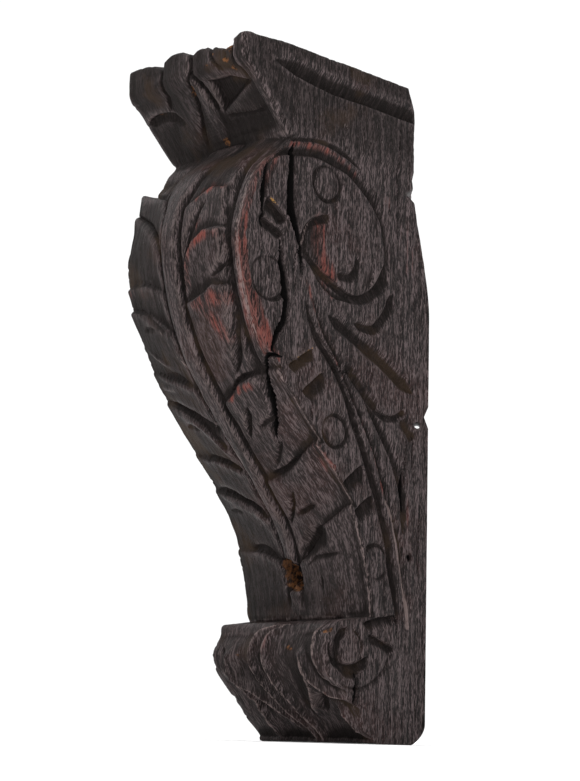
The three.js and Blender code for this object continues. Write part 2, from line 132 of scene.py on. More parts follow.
cap_turn, neck = np.array([CAP_REACH, HEIGHT - 15]), np.array([NECK_REACH, CAP_BOTTOM])
cap_slope = mix(cap_turn, neck, 0.22)
cap_line = np.vstack([
    bezier([[CAP_REACH, HEIGHT], cap_turn], 8),
    bezier([cap_turn, [CAP_REACH, HEIGHT - 21], cap_slope])[1:],
    bezier([cap_slope, neck], 20)[1:],
])
ankle_height = SCROLL_HEIGHT + LEDGE_FALL
above = [[1, 0], [0.89, 0.2], [0.73, 0.5], [0.47, 0.78]]
below = [[0.77, 0.86], [0.566, 0.583], [0.42, 0.333], [0.295, 0.157], [0.165, 0.06], [0, 0]]
body_points = [
    [mix(NECK_REACH, BELLY_REACH, out), mix(BELLY_HEIGHT, CAP_BOTTOM, up)] for up, out in above]
body_points.append([BELLY_REACH, BELLY_HEIGHT])
body_points += [
    [mix(ANKLE_REACH, BELLY_REACH, out), mix(ankle_height, BELLY_HEIGHT, up)] for up, out in below]
ledge = [LEDGE_REACH, SCROLL_HEIGHT]
nose = [SCROLL_REACH, SCROLL_HEIGHT * 0.73]
shoulder = [[mix(LEDGE_REACH, SCROLL_REACH, 0.6), SCROLL_HEIGHT], [SCROLL_REACH, SCROLL_HEIGHT * 0.86]]
chin = [[SCROLL_REACH, SCROLL_HEIGHT * 0.55], [mix(FOOT_REACH, SCROLL_REACH, 0.29), SCROLL_HEIGHT * 0.27]]
ledge_line = bezier([[ANKLE_REACH, ankle_height], ledge], 8)
roll_line = np.vstack([bezier([ledge, *shoulder, nose]), bezier([nose, *chin, [FOOT_REACH, 0]])[1:]])

# The four runs, by number: the cap, the body, the ledge and the roll
runs = [evenly(cap_line, STEP), evenly(spline(body_points), STEP)]
runs += [evenly(ledge_line, STEP * 3), evenly(roll_line, STEP)]
CAP_LENGTH, BODY, _, ROLL_LENGTH = (run[2][-1] for run in runs)
rows = [np.concatenate([run[k][(1 if n else 0):] for n, run in enumerate(runs)]) for k in range(3)]
reach_of, up_of = rows[0].T
out_of, t_of = rows[1], rows[2]
kind = np.concatenate([np.full(len(run[0]) - (1 if n else 0), n) for n, run in enumerate(runs)])
print(len(kind), "rows down the front; the body runs", round(BODY, 1), "mm")

# %% [markdown]
# ## A carver's marks
#
# Nearly all of the carving is made with two movements. A gouge or V tool run along a line leaves a
# furrow that swells and tapers with the pressure. A chisel driven straight down and then met by a
# slanting cut leaves a step: steep on one side and running out gently on the other. Both are drawn as
# a line of places with a width and a depth. The hand is never even, so slow seeded noise bends them.

# %% Marks
def waver(u, v, size_u, size_v, seed):
    """Smooth seeded noise from -1 to 1, with waves of the given size each way."""
    table = np.random.default_rng(seed).uniform(-1, 1, (97, 89))
    a, b = u / size_u, v / size_v
    i, j = np.floor(a).astype(int), np.floor(b).astype(int)
    fa, fb = ease(0, 1, a - i), ease(0, 1, b - j)
    first = mix(table[i % 97, j % 89], table[(i + 1) % 97, j % 89], fa)
    second = mix(table[i % 97, (j + 1) % 89], table[(i + 1) % 97, (j + 1) % 89], fa)
    return mix(first, second, fb)


def along(points, u, v):
    """The signed distance of every place from a line, and how far along the line it lies."""
    line = spline(points, 7) if len(points) > 2 else np.array(points, float)
    lengths = np.hypot(*np.diff(line, axis=0).T)
    run = np.concatenate([[0], np.cumsum(lengths)])
    best, side, share = np.full(u.shape, 1e9), np.ones(u.shape), np.zeros(u.shape)
    for k, (a, b) in enumerate(zip(line, line[1:])):
        d = b - a
        s = unit(((u - a[0]) * d[0] + (v - a[1]) * d[1]) / max(d @ d, 1e-9))
        du, dv = u - a[0] - s * d[0], v - a[1] - s * d[1]
        far = np.hypot(du, dv)
        nearer = far < best
        best = np.where(nearer, far, best)
        side = np.where(nearer, np.where(d[0] * dv - d[1] * du > 0, 1, -1), side)
        share = np.where(nearer, (run[k] + s * lengths[k]) / run[-1], share)
    return best * side, share


def furrow(points, u, v, width, depth, lean=0.0, tips=0.3, keen=1.0):
    """How deep a tool run along points has cut. Lean puts the steep wall on one side of the line."""
    off, share = along(points, u, v)
    swell = unit(np.minimum(share, 1 - share) / tips + 0.02) ** 0.6 if tips else 1.0
    wide = width * swell * np.where(off > 0, 1 + lean, 1 - lean) / 2
    return depth * swell * unit(1 - np.abs(off) / np.maximum(wide, 0.05)) ** keen


def ridge(points, u, v, width, height, tips=0.3):
    off, share = along(points, u, v)
    swell = unit(np.minimum(share, 1 - share) / tips + 0.02) ** 0.5
    return height * swell * np.exp(-((off / (width / 2)) ** 2))


def pocket(corners, u, v, depth, soft):
    """A hollow chopped down inside a line of corners, with walls as wide as soft."""
    inside = np.full(u.shape, 99.0)
    for (a, b), (c, d) in zip(corners, corners[1:] + corners[:1]):
        inside = np.minimum(inside, ((v - b) * (c - a) - (u - a) * (d - b)) / math.hypot(c - a, d - b))
    return depth * ease(0, soft, inside)


def steps_down(t, edges, rises):
    """Overlapping leaflets: each stands proud just below its edge and falls away to the next edge."""
    lift = np.zeros(t.shape)
    for k, rise in enumerate(rises):
        start, end = edges[k], edges[k + 1]
        phase = unit((t - start) / np.maximum(end - start, 1))
        inside = (t >= start) & (t < end)
        leaf = rise * (1 - 1.6 * phase**0.85) * ease(0, 2.2, t - start)
        lift = np.where(inside, leaf, lift)
    return lift


print("tools ready: furrow, ridge, pocket and leaflet steps")

# %% [markdown]
# ## The leaf on the front
#
# One long leaf hangs down the front. Its midrib starts as a broad stem at the neck and narrows to the
# foot. On both sides of it the leaf is cut into overlapping leaflets that spring from the rib and rise
# towards the edge, and each leaflet has a small eye cut into its middle. The two sides don't match,
# because the leaf is turned a little to the left. x is measured from the middle and t down the body.

# %% Leaf lines
RIB_MIDDLE = ([0, 60, 110, 150, 190, 240, 285, 330], [1, 1.5, 1.5, 3, 6, 4, 3, 2])
RIB_HALF = ([0, 25, 50, 62, 110, 150, 190, 240, 330], [17, 13, 9, 6.5, 6.5, 6, 5, 4, 4])
LEFT_FIRST = ([6, 12, 20, 30, 45, 58], [84, 74, 66, 59, 50, 42])
LEFT_EDGES = [(103, 9), (128, 20), (160, 11), (201, 33), (218, 10), (257, 23), (289, 10)]
LEFT_RISES = [3.0, 1.7, 1.6, 3.2, 2.0, 3.6, 1.6, 3.4, 2.2]
RIGHT_EDGES = [
    [(8, 62), (18, 55), (28, 45), (38, 47), (46, 50)],
    [(8, 108), (12, 104), (17, 88), (22, 78), (29, 73), (44, 73)],
    [(8, 111), (20, 108), (27, 106), (32, 103), (42, 106)],
    [(8, 174), (17, 170), (22, 167), (28, 162), (35, 160), (50, 160)],
    [(8, 229), (20, 226), (30, 224), (42, 217), (52, 212)],
    [(8, 293), (14, 289), (19, 284), (26, 276), (33, 269), (40, 264), (52, 258)],
]
RIGHT_RISES = [2.5, 2.5, 3.8, 3.6, 3.6, 1.4]
# Each cut: its line, width, depth, lean
LEAF_CUTS = [
    ([(-6, 84), (-12, 74), (-20, 66), (-30, 59), (-45, 50), (-58, 42)], 6, 4.5, -0.6),
    ([(-10, 103), (-20, 98), (-35, 92), (-50, 92)], 3, 1.6, -0.4),
    ([(-8, 128), (-18, 120), (-28, 114), (-40, 110), (-52, 108)], 5, 3.4, -0.6),
    ([(-40, 123), (-32, 121), (-24, 122)], 4, 2.6, 0.3),
    ([(-10, 158), (-20, 150), (-33, 149)], 6, 2.8, -0.2),
    ([(2, 202), (1, 194), (-3, 189), (-9, 184), (-17, 178), (-25, 174), (-35, 171), (-57, 169)],
     9, 6.5, -0.55),
    ([(-36, 186), (-28, 184), (-20, 187)], 5, 3.4, 0.2),
    ([(-4, 219), (-8, 214), (-15, 211), (-27, 209), (-35, 211)], 5, 3.2, -0.3),
    ([(-4, 258), (-8, 250), (-14, 245), (-22, 240), (-30, 236), (-40, 234), (-50, 236)], 9, 6.5, -0.5),
    ([(-42, 250), (-33, 249), (-25, 251)], 4, 2.8, 0.2),
    ([(-10, 290), (-13, 283), (-20, 279), (-30, 279), (-38, 281)], 5, 3.4, -0.3),
    ([(27, 56), (22, 64), (17, 76), (13, 92), (12, 104)], 6, 4.5, 0),
    ([(40, 45), (40, 60), (43, 70)], 5, 3.5, 0),
    ([(31, 99), (36, 95), (40, 91), (45, 83)], 6, 5, 0),
    ([(41, 110), (41, 125), (37, 140), (33, 150), (28, 158)], 8, 6, 0.2),
    ([(17, 170), (22, 167), (28, 162), (35, 160), (42, 160)], 6, 4.5, 0.4),
    ([(28, 177), (25, 184), (21, 191), (18, 198)], 5, 5, 0),
    ([(28, 193), (35, 191), (42, 192)], 5, 3.6, 0),
    ([(22, 222), (29, 213), (37, 204)], 4, 2.4, 0),
    ([(14, 229), (20, 226), (30, 224), (42, 217)], 8, 4.6, 0.4),
    ([(27, 239), (23, 246), (19, 253), (14, 261), (12, 265)], 4, 4.4, 0),
    ([(21, 258), (28, 255), (35, 253)], 5, 4.2, 0),
    ([(12, 289), (19, 283), (27, 276), (36, 269)], 17, 8, 0.1),
    ([(17, 294), (24, 289), (33, 287), (43, 285)], 4, 2.4, 0.5),
    ([(26, 300), (25, 310)], 2, 2, 0),
]
LEAF_RIDGES = [
    ([(22, 78), (17, 90), (14, 102)], 4, 1.8),
    ([(-47, 134), (-38, 139), (-22, 145)], 3, 1.1),
    ([(-50, 160), (-35, 159), (-25, 157)], 4, 1.2),
]
print("leaf of", len(LEFT_RISES) + len(RIGHT_RISES), "leaflets and", len(LEAF_CUTS), "cuts")

# %% [markdown]
# The rib and the leaflets of both sides are built up first, and the cuts are taken out of them last.

# %% Leaf
def left_edge(u, foot, rise):
    return foot - rise * (1 - np.exp(-np.maximum(u - 6, 0) / 15))


def body_lift(x, t):
    bend = 1.6 * waver(x, t, 23, 31, 4)
    wx, wt = x + 0.6 * bend, t + bend
    u = np.abs(x)
    swell = ease(0, 0.17 * BODY, t) * mix(1, 0.55, ease(0.6 * BODY, BODY, t))
    crown = CROWN * (1 - unit(u / HALF) ** 2) * swell
    middle, rib = np.interp(wt, *RIB_MIDDLE), np.interp(wt, *RIB_HALF)
    off = np.abs(wx - middle)
    fade = ease(16, 60, t) * (1 - ease(BODY - 24, BODY - 4, t))
    stem = 2.4 * np.sqrt(unit(1 - (off / rib) ** 4)) * (1 - ease(BODY - 22, BODY - 6, t))
    beside = -3.2 * unit(1 - np.abs(off - rib - 1.6) / 2.4) * fade
    clear = ease(0, 9, off - rib)
    # Left side of the leaf
    top = np.interp(-wx, [10, 30, 57], [50, 40, 29])
    foot = np.full(t.shape, BODY + 1)
    edges = [top, np.interp(-wx, *LEFT_FIRST), *(left_edge(-wx, *pair) for pair in LEFT_EDGES), foot]
    calm = 1 - 0.6 * ease(34, 54, -x) * ease(90, 130, t)
    left = steps_down(wt, edges, LEFT_RISES) * clear * calm
    small_lobe = ease(30, 40, -x) * (1 - ease(-8, -3, wt - top))
    over_the_leaf = 1 - ease(-1.5, 0.8, wt - top)
    left -= 6.5 * ease(12, 32, -x) * ease(8, 20, t) * over_the_leaf * (1 - 0.4 * small_lobe)
    left += 2.2 * ease(40, 54, -x) * ease(66, 82, t) * (1 - ease(112, 128, t))
    left += 3.2 * ease(30, 50, -x) * ease(-1, 2, wt - top) * (1 - ease(44, 62, wt))
    # Right side, which ends at the strap's rim while the rim lasts
    rim = ease(8, 40, t) * (1 - ease(145, 178, t))
    right_lines = [np.interp(wx, *np.array(line).T) for line in RIGHT_EDGES]
    right = steps_down(wt, [*right_lines, foot], RIGHT_RISES) * clear
    right *= mix(1, 1 - ease(40, 43, x), rim)
    lift = crown + stem + beside + np.where(x > middle, right, left) * (1 - ease(BODY - 20, BODY - 3, t))
    lift -= 5 * unit(1 - np.abs(x - 43.2) / 4) * rim
    lift -= np.maximum(0, x - HALF * 0.65) * 0.3 * (1 - rim)
    for points, width, depth, lean in LEAF_CUTS:
        lift -= furrow(points, wx, wt, width, depth, lean) * calm * np.where(x < middle, 0.6, 0.9)
    for points, width, height in LEAF_RIDGES:
        lift += ridge(points, wx, wt, width, height)
    # Strokes of a flat gouge, left side by side down each leaflet
    lift += 0.09 * np.sin(0.9 * wx + 0.25 * wt + 3 * waver(x, t, 9, 40, 5)) * fade
    return lift


HOLE_X, HOLE_T, HOLE_DEPTH = 1, 298, 14
HOLE_LEAN = 0.15
FRONT_CRACK = [(57, 141), (52, 151), (47, 160), (43, 175), (39, 190), (34, 202), (32, 210)]


def beside_hole(x, t):
    """How far a place lies to the right of the rot hole's own leaning middle line."""
    return x - HOLE_X - HOLE_LEAN * (t - HOLE_T)


def body_loss(x, t):
    """The rot hole at the leaf's foot and the drying crack that comes over the right edge."""
    hole = np.hypot(beside_hole(x, t) / 8.5, (t - HOLE_T) / 13) + 0.22 * waver(x, t, 3, 4, 9)
    loss = HOLE_DEPTH * (1 - ease(0.4, 1.05, hole)) * (1 + 0.25 * waver(x, t, 2.4, 2.8, 10))
    shake = 0.7 * waver(x, t, 4, 5, 33)
    return np.maximum(loss, furrow(FRONT_CRACK, x + shake, t, 3.2, 12, 0, tips=0.35, keen=0.5))


print("the rib stands", body_lift(np.zeros(1), np.full(1, 160.0)).round(1), "mm off the sawn outline")

# %% [markdown]
# ## The cap and the roll at the foot
#
# Under the top edge stand the tips of upright leaves, lapped over each other like tiles, with a square
# post left proud at the right corner. The roll at the foot is another leaf, seen from its back: sharp
# ridges with hollow flutes between them.

# %% Cap and roll
CAP_LEFT = ([0, 14, 30, 44, 62], [-19, -20, -21, -26, -34])
CAP_MIDDLE = ([0, 10, 16, 27.5, 40, 50.5, 59.5, 68], [5, 6.5, 6, 1.5, -3, -7.5, -12, -13])
STEM_WIDTH = ([14, 20, 28, 38, 48, 60, 69], [0.2, 3.5, 7, 12.5, 17, 21, 19])
CAP_UNDER = ([-55, -42, -30, -22, -19], [40, 38, 38, 44, 50])
CAP_POCKET = [(14, 28), (34, 30), (50, 37.5), (13, 51)]
CAP_CUTS = [
    ([(-19, -4), (-20, 14), (-22, 26), (-27, 38)], 4, 2.6, -0.3),
    ([(-52, 41.5), (-45, 39), (-36.5, 38.5), (-27, 40.5), (-19, 48)], 8, 3.4, 0.5),
    ([(5.5, -4), (6.5, 10), (7, 18)], 4, 3, 0),
    ([(6, 14), (7.5, 26), (10, 37), (10.5, 48)], 5, 4.4, 0.2),
    ([(6, 16), (1.5, 28), (-3, 40), (-8, 51), (-12, 60)], 2.6, 1.8, 0),
    ([(24, -4), (24, 10), (28, 18), (32, 27)], 4, 2.6, -0.4),
    ([(36, -4), (36, 8), (39, 20)], 3, 1.6, 0),
    ([(14, 53), (31, 55.5), (49, 56)], 2.4, 2.4, 0.2),
    ([(-12, 68), (12, 68), (34, 67.5), (49, 68)], 3, 3, 0),
    ([(45.5, -6), (45.5, 18), (48, 34)], 4, 3, -0.3),
]
ROLL_RIDGES = [
    [(16, 6), (2.5, 10), (-7, 18), (-10.5, 29.5), (-10, 43.5), (-4.5, 63.5), (2, 79), (9, 95)],
    [(12, 8), (5, 14), (3, 25), (2.5, 38), (4, 52), (8.5, 70), (14, 95)],
    [(33, 31), (34, 42), (38, 50), (46, 59), (54, 65)],
    [(34, 38), (33, 50), (28, 61), (21, 76)],
    [(-38, 30), (-38.5, 46), (-24.5, 56), (-12.5, 68), (-2, 86)],
    [(-44, 44), (-33, 52.5), (-30, 59.5), (-27.5, 73.5), (-29, 93)],
    [(48, 8), (48, 30), (51, 52)],
    [(44, 70), (48, 80), (51, 92)],
]
ROLL_CUTS = [
    ([(-35, 60), (-22, 68), (-11, 79), (-6, 90)], 8, 3.0, 0.3),
    ([(38, 60), (32, 66), (28, 76)], 8, 4.0, 0.2),
    ([(-46, 20), (-40, 34), (-44, 44)], 3, 1.4, 0),
]


def cap_lift(x, t):
    wx, wt = x + 0.9 * waver(x, t, 17, 21, 12), t + 0.9 * waver(x, t, 19, 15, 13)
    share = t / CAP_LENGTH
    left, middle = np.interp(wt, *CAP_LEFT), np.interp(wt, *CAP_MIDDLE)
    wide = np.interp(wt, *STEM_WIDTH)
    first = np.where(wt < np.interp(wx, *CAP_UNDER), -0.8 - 0.01 * (wx + 38) ** 2 / 4, -1.7)
    tongue = -1.2 + 2.2 * (1 - ((wx - (left + middle) / 2) / ((middle - left) / 2)) ** 2)
    stem = -4.4 + 4.6 * np.sqrt(unit(1 - ((wx - middle - wide / 2) / (wide / 2)) ** 2))
    stem += 0.14 * np.sin(2 * math.pi * wt / 2.3 + 2 * waver(x, t, 5, 5, 14))
    behind = -2.2 - 0.9 * ease(24, 36, wx) * (1 - ease(20, 34, wt)) - 0.04 * np.maximum(0, wt - 40)
    behind -= 0.4 * unit(np.sin(wx * 1.4 + wt * 2.1)) * ease(56, 58, wt)
    lift = np.where(wx < middle + wide, stem, behind)
    lift = np.where(wx < middle, tongue, lift)
    lift = np.where(wx < left, first, lift)
    lift -= pocket(CAP_POCKET, wx, wt, 6.5, 3.5)
    for points, width, depth, lean in CAP_CUTS:
        lift -= furrow(points, wx, wt, width, depth, lean, tips=0.12)
    post = -0.3 + 0.6 * waver(x, t, 9, 13, 15) - 0.5 * unit(waver(x, t, 3, 5, 16))
    lift = mix(lift, post, ease(45, 47.5, x - 3 * ease(22, 38, t)))
    return lift * (1 - ease(0.8, 1, share))


def roll_lift(x, t):
    wx = x + 0.7 * waver(x, t, 19, 23, 17)
    near = np.full(x.shape, 60.0)
    for points in ROLL_RIDGES:
        off, share = along(points, wx, t)
        near = np.minimum(near, np.abs(off) + 2.5 * ease(0.75, 1, share) + 2 * (1 - ease(0, 0.2, share)))
    lift = 2.2 - 8.4 * (1 - np.exp(-near / 5.0))
    for points, width, depth, lean in ROLL_CUTS:
        lift -= furrow(points, wx, t, width, depth, lean)
    lift += 2.8 * ease(42, 52, -x) * ease(14, 30, t) * (1 - ease(78, 94, t))
    return lift * ease(0, 12, t) * (1 - 0.6 * ease(ROLL_LENGTH - 2, ROLL_LENGTH, t))


print("cap of", len(CAP_CUTS), "cuts; roll of", len(ROLL_RIDGES), "ridges")

# %% [markdown]
# ## The sides
#
# A strap follows the front edge down each side, marked off by a V groove, and carries round studs with
# pairs of slanting chisel nicks between them. Higher up the strap curls into a volute round a low
# button.

# %% Side lines
# Each nick: its line, width, depth
NICKS = [
    ([(144, 321), (135, 316), (127, 310)], 12, 5.5), ([(150, 308), (139, 305), (129, 301)], 9, 4.6),
    ([(124, 221), (114, 227), (103, 234)], 9, 4), ([(111, 207), (102, 214), (94, 221)], 11, 5),
    ([(80, 152), (70, 160), (59, 168)], 11, 5), ([(70, 136), (60, 143), (49, 151)], 11, 5),
    ([(56, 72), (42, 76), (28, 79)], 8, 3.6), ([(51, 66), (40, 62), (29, 57)], 8, 3.8),
]
STRAP = [(112, 265), (108, 255), (100, 243), (90, 232), (80, 220), (73, 210), (67, 197), (60, 182), (55, 172)]
STRAP += [(50, 160), (45, 150), (41, 140), (37, 128), (34, 118), (31, 105), (28, 92), (26, 73)]
SIDE_CUTS = [
    (STRAP, 7, 4.4, 0.35),
    ([(108, 268), (95, 245), (83, 230), (66, 205), (50, 178), (38, 148), (28, 123), (22, 100), (18, 72)],
     5, 2.6, -0.5),
    ([(62, 216), (50, 200), (37, 180), (30, 165), (25, 150), (24, 128)], 8, 3.8, -0.3),
    ([(147, 340), (136, 351), (120, 355), (105, 357), (89, 355), (77, 352), (67, 346), (56, 338), (48, 328)],
     9, 3.6, -0.45),
    ([(60, 341), (48, 328), (43, 314), (41, 301), (45, 289)], 7, 2.0, -0.45),
    ([(41, 302), (45, 289), (54, 280), (69, 273.5), (87, 277.5), (100, 285), (109, 294), (112, 304)],
     9, 5, -0.3),
    ([(110, 294), (112, 304), (106, 314), (92, 321)], 9, 4.6, 0.3),
    ([(137, 355), (130, 361), (110, 365), (95, 365), (80, 362), (66, 356)], 4, 1.8, 0),
    ([(70, 257), (55, 256), (47, 262), (40, 270), (35, 282)], 9, 4.2, 0.2),
    ([(85, 285), (76, 285), (69, 291), (67, 299)], 9, 3.2, 0.5),
    ([(92, 258), (66, 247), (40, 235), (15, 220)], 12, 5.0, 0.1),
    ([(77, 230), (62, 217), (46, 204)], 9, 4.4, 0),
    ([(52, 206), (40, 202), (30, 204), (22, 209)], 7, 3.2, 0.3),
    ([(26, 203), (20, 196), (14, 190)], 12, 3, 0),
    ([(142, 408), (110, 404), (70, 402), (27, 402), (-4, 402)], 12, 6.4, -0.4),
    ([(88, 70), (87, 60), (83, 52), (76, 47), (68, 45), (58, 47), (52, 52)], 8, 5.2, 0.2),
    ([(85, 40), (74, 35), (60, 33), (46, 38), (36, 48), (32, 60)], 4, 1.2, 0),
    ([(70, 69), (77, 61), (77, 50), (70, 43), (59, 42)], 8, 4.6, 0.2),
    ([(66, 69), (58, 62), (57, 52), (62, 45)], 2.6, 1.5, 0),
]
# Each stud: reach, height, radius
STUDS = [(141, 272, 13), (83, 187, 10), (46, 110, 10.5), (95, 341, 11)]
# Each crack: its line, width, depth
CRACKS = [
    ([(122.5, 363), (124, 349), (124.5, 335), (124.5, 322), (121.5, 312), (118, 303), (114, 293), (113, 284)],
     7, 17),
    ([(132.5, 301), (132.5, 288), (130, 278), (128, 270), (127, 259), (128, 248), (133, 240), (137, 228),
      (137.5, 217), (136, 210)], 5, 16),
    ([(145.5, 350), (146.5, 337), (147.5, 322), (147, 308), (146, 298)], 4, 10),
    ([(119, 312), (116, 297), (115, 274)], 3.4, 10), ([(62, 43), (62.5, 29), (67, 19), (72, 16)], 3.4, 10),
    ([(24, 176), (24, 157), (21, 140)], 2.4, 6), ([(14, 196), (15, 178), (13, 158)], 2, 5),
    ([(21, 190), (22, 172), (20, 160)], 1.6, 4), ([(104, 205), (105, 180), (103, 168)], 1.6, 3),
    ([(31, 395), (33, 360), (30, 335)], 1.6, 3), ([(9, 150), (10, 120), (8, 96)], 1.8, 3),
    ([(118, 296), (121, 280), (119, 262)], 1.8, 5), ([(30, 100), (29, 84), (27, 66)], 1.6, 4),
]
BUTTON = (80, 297, 29)
NAIL = (17, 115, 2)
print("sides of", len(SIDE_CUTS) + len(NICKS), "cuts,", len(STUDS), "studs and", len(CRACKS), "cracks")

# %% [markdown]
# All the cuts meet in one depth, the deepest at each place. Later cracks and the weathered grain follow.

# %% Sides
def side_cut(reach, up, plain):
    """How deep the side is cut at each place. The hidden side is plainer, without the later cracks."""
    bend = 1.3 * waver(reach, up, 27, 33, 21 + plain)
    r, z = reach + bend, up + 0.8 * waver(reach, up, 31, 25, 23 + plain)
    cut = np.zeros(reach.shape)
    for points, width, depth, lean in SIDE_CUTS:
        cut = np.maximum(cut, furrow(points, r, z, width, depth, lean, tips=0.12))
    for points, width, depth in NICKS:
        cut = np.maximum(cut, furrow(points, r, z, width, depth, 0.75, tips=0.16))
    for at, height, radius in STUDS:
        off = np.hypot(r - at, z - height)
        uneven = 0.75 + 0.4 * waver(r, z, 9, 9, 27)
        cut = np.maximum(cut, 3 * uneven * unit(1 - np.abs(off - radius) / 2.6))
        cut = np.maximum(cut, 0.9 * ease(0, radius, off) * (off < radius))
    at, height, radius = BUTTON
    button = np.hypot(r - at, z - height)
    upper = ease(-0.1, 0.6, (0.95 * (z - height) - 0.4 * (r - at)) / radius)
    cut = np.maximum(cut, 2.4 * ease(8, radius, button) ** 2 * (button < radius) * (1 - upper))
    loss = np.zeros(reach.shape)
    if not plain:
        for points, width, depth in CRACKS:
            shake = 0.5 * waver(reach, up, 5, 9, 31)
            loss = np.maximum(loss, furrow(points, reach + shake, up, width, depth, 0, tips=0.4, keen=0.6))
        at, height, radius = NAIL
        nail = np.hypot(reach - at, up - height)
        loss = np.maximum(loss, 9 * (1 - ease(radius - 0.5, radius + 0.5, nail)))
    return cut, loss


def grain_relief(across, up, seed):
    """Long upright furrows where the soft early wood has worn away between the harder rings."""
    drift = 6 * waver(across, up, 60, 90, seed)
    coarse = waver(across + drift, up, 2.6, 46, seed + 1)
    fine = waver(across + drift, up, 1.3, 21, seed + 2)
    split = (1 - np.abs(waver(across + drift, up, 9, 70, seed + 3))) ** 14
    open_at = unit(0.3 + waver(across, up, 21, 55, seed + 4))
    return unit(coarse) * 0.5 + unit(fine) * 0.25 + split * open_at * 1.3


deepest = side_cut(np.full(400, 80.0), np.arange(400.0), 0)[0].max()
print("deepest carving 80 mm from the back:", round(deepest, 1), "mm")

# %% [markdown]
# ## One skin over the block
#
# The mesh is a stack of closed rings, from the top down. Each ring crosses the front, turns the worn
# right edge, runs back along the side, over the broken back edge, across the back and home along the
# left side. The front is pushed out or in along the outline's own direction, and the sides straight in.

# %% Rings
# Bites out of the right back edge: height, half height, depth
BITES = [(350.5, 5, 7), (206, 7, 4)]
# How far the top front edge is worn down, from the left to the right
TOP_DROP = (
    [-56, -45, -38, -30, -24, -20.5, -19.5, -10, 0, 5, 8, 12]
    + [20, 25, 28, 32, 37, 42, 45.4, 46.5, 50, 54, 56.5],
    [0, 1, 1.5, 3, 5.5, 7.6, 3.5, 1.3, 2, 4.3, 5, 3, 3.7, 6.2, 5.5, 7.3, 8.5, 8, 7.5, 6, 4.5, 2.5, 1.5],
)


def half_width(up, side):
    cap = CAP_OVERHANG * ease(CAP_BOTTOM - 4, CAP_BOTTOM + 2, up)
    if side > 0:
        return HALF + cap
    lost = 4 * np.exp(-(((up - CAP_BOTTOM + 2) / 7) ** 2)) + 5 * (1 - ease(65, 81, up))
    return HALF + cap - lost


across = np.linspace(-1, 1, round(2 * (HALF - ARRIS) / (STEP * 0.92)) + 1)
count = len(kind)


def rowed(values, columns):
    """One value a ring, repeated along the ring."""
    return np.repeat(np.asarray(values)[:, None], columns, 1)


X = rowed(np.zeros(count), len(across)) + across * (HALF - ARRIS)
T = rowed(t_of, len(across))
lift = np.zeros(X.shape)
for n, field in ((0, cap_lift), (1, body_lift), (3, roll_lift)):
    lift[kind == n] = field(X[kind == n], T[kind == n])
front_loss = np.zeros(X.shape)
front_loss[kind == 1] = body_loss(X[kind == 1], T[kind == 1])
relief = lift.copy()
lift -= front_loss + 0.3 * grain_relief(X, rowed(up_of, len(across)), 41)
lift += 0.3 * waver(X, T, 6, 8, 43) - 0.5 * unit(waver(X, T, 3.5, 3, 44) - 0.5)

print("front", X.shape, "lifted from", round(lift.min(), 1), "to", round(lift.max(), 1), "mm")

# %% [markdown]
# The edges between the front and the sides are rubbed round and nicked. The right back edge has lost a
# long wane of wood towards the top and two bites lower down.

# %% Edges and sides
sharp = np.clip(1.1 * ARRIS + 1.6 * waver(up_of, up_of, 9, 7, 45), 2.2, 6)
nicked = np.maximum(0, waver(up_of, up_of, 5, 3, 46) - 0.45) * 5
front_x = across * np.where(across > 0, half_width(up_of, 1)[:, None], half_width(up_of, -1)[:, None])
front_x *= (HALF - ARRIS) / HALF
front_reach = reach_of[:, None] + lift * out_of[:, :1]
front_up = up_of[:, None] + lift * out_of[:, 1:]

turn = np.linspace(0, 1, 6)[1:-1] * math.pi / 2
down_side = np.linspace(0, 1, round(150 / STEP))
down_left = np.linspace(0, 1, round(75 / STEP))


def corner(side):
    """The worn edge between the front and one side, as columns from the front to the side."""
    k = -1 if side > 0 else 0
    wide = half_width(up_of, side)
    turned = [ease(0, 1, a / (math.pi / 2)) for a in turn]
    x = [mix(np.abs(front_x[:, k]), wide, math.sin(a)) for a in turn]
    depth = sharp + nicked + 3 * (side > 0) * (kind == 0)
    reach = [front_reach[:, k] - depth * (1 - math.cos(a)) - 0.3 * nicked for a in turn]
    up = [mix(front_up[:, k], up_of, s) for s in turned]
    return side * np.stack(x, 1), np.stack(reach, 1), np.stack(up, 1)


def wane(up):
    worn_back = 17.5 * ease(0.635 * HEIGHT, 0.88 * HEIGHT, up) + 5 * ease(HEIGHT - 15, HEIGHT, up)
    bitten = sum(depth * unit(1 - np.abs(up - at) / wide) for at, wide, depth in BITES)
    return 1.5 + worn_back + bitten + 11 * (1 - unit(up / 13)) ** 2


def side_face(side, shares, to_back):
    k = -1 if side > 0 else 0
    begin = front_reach[:, k] - sharp - nicked - 3 * (side > 0) * (kind == 0)
    end = to_back(up_of)
    reach = begin[:, None] + (end - begin)[:, None] * shares
    up = rowed(up_of, len(shares))
    carved, loss = side_cut(reach, up, 0 if side > 0 else 1)
    cut = np.maximum(carved + grain_relief(reach, up, 51 + (side < 0)), loss)
    cut += 0.5 + 0.5 * waver(reach, up, 26, 40, 55)
    cut *= ease(-0.02, 0.03, shares)
    return side * (half_width(up_of, side)[:, None] - cut), reach, up, carved, loss


right = side_face(1, down_side, wane)
left = side_face(-1, down_left[::-1], lambda up: np.full(up.shape, 1.5))
right_corner, left_corner = corner(1), corner(-1)
print("right side cut", round(right[3].max(), 1), "mm deep, cracked", round(right[4].max(), 1), "mm deep")

# %% [markdown]
# The torn back edge is ragged, and the back itself is flat so that the corbel lies close to the wall.

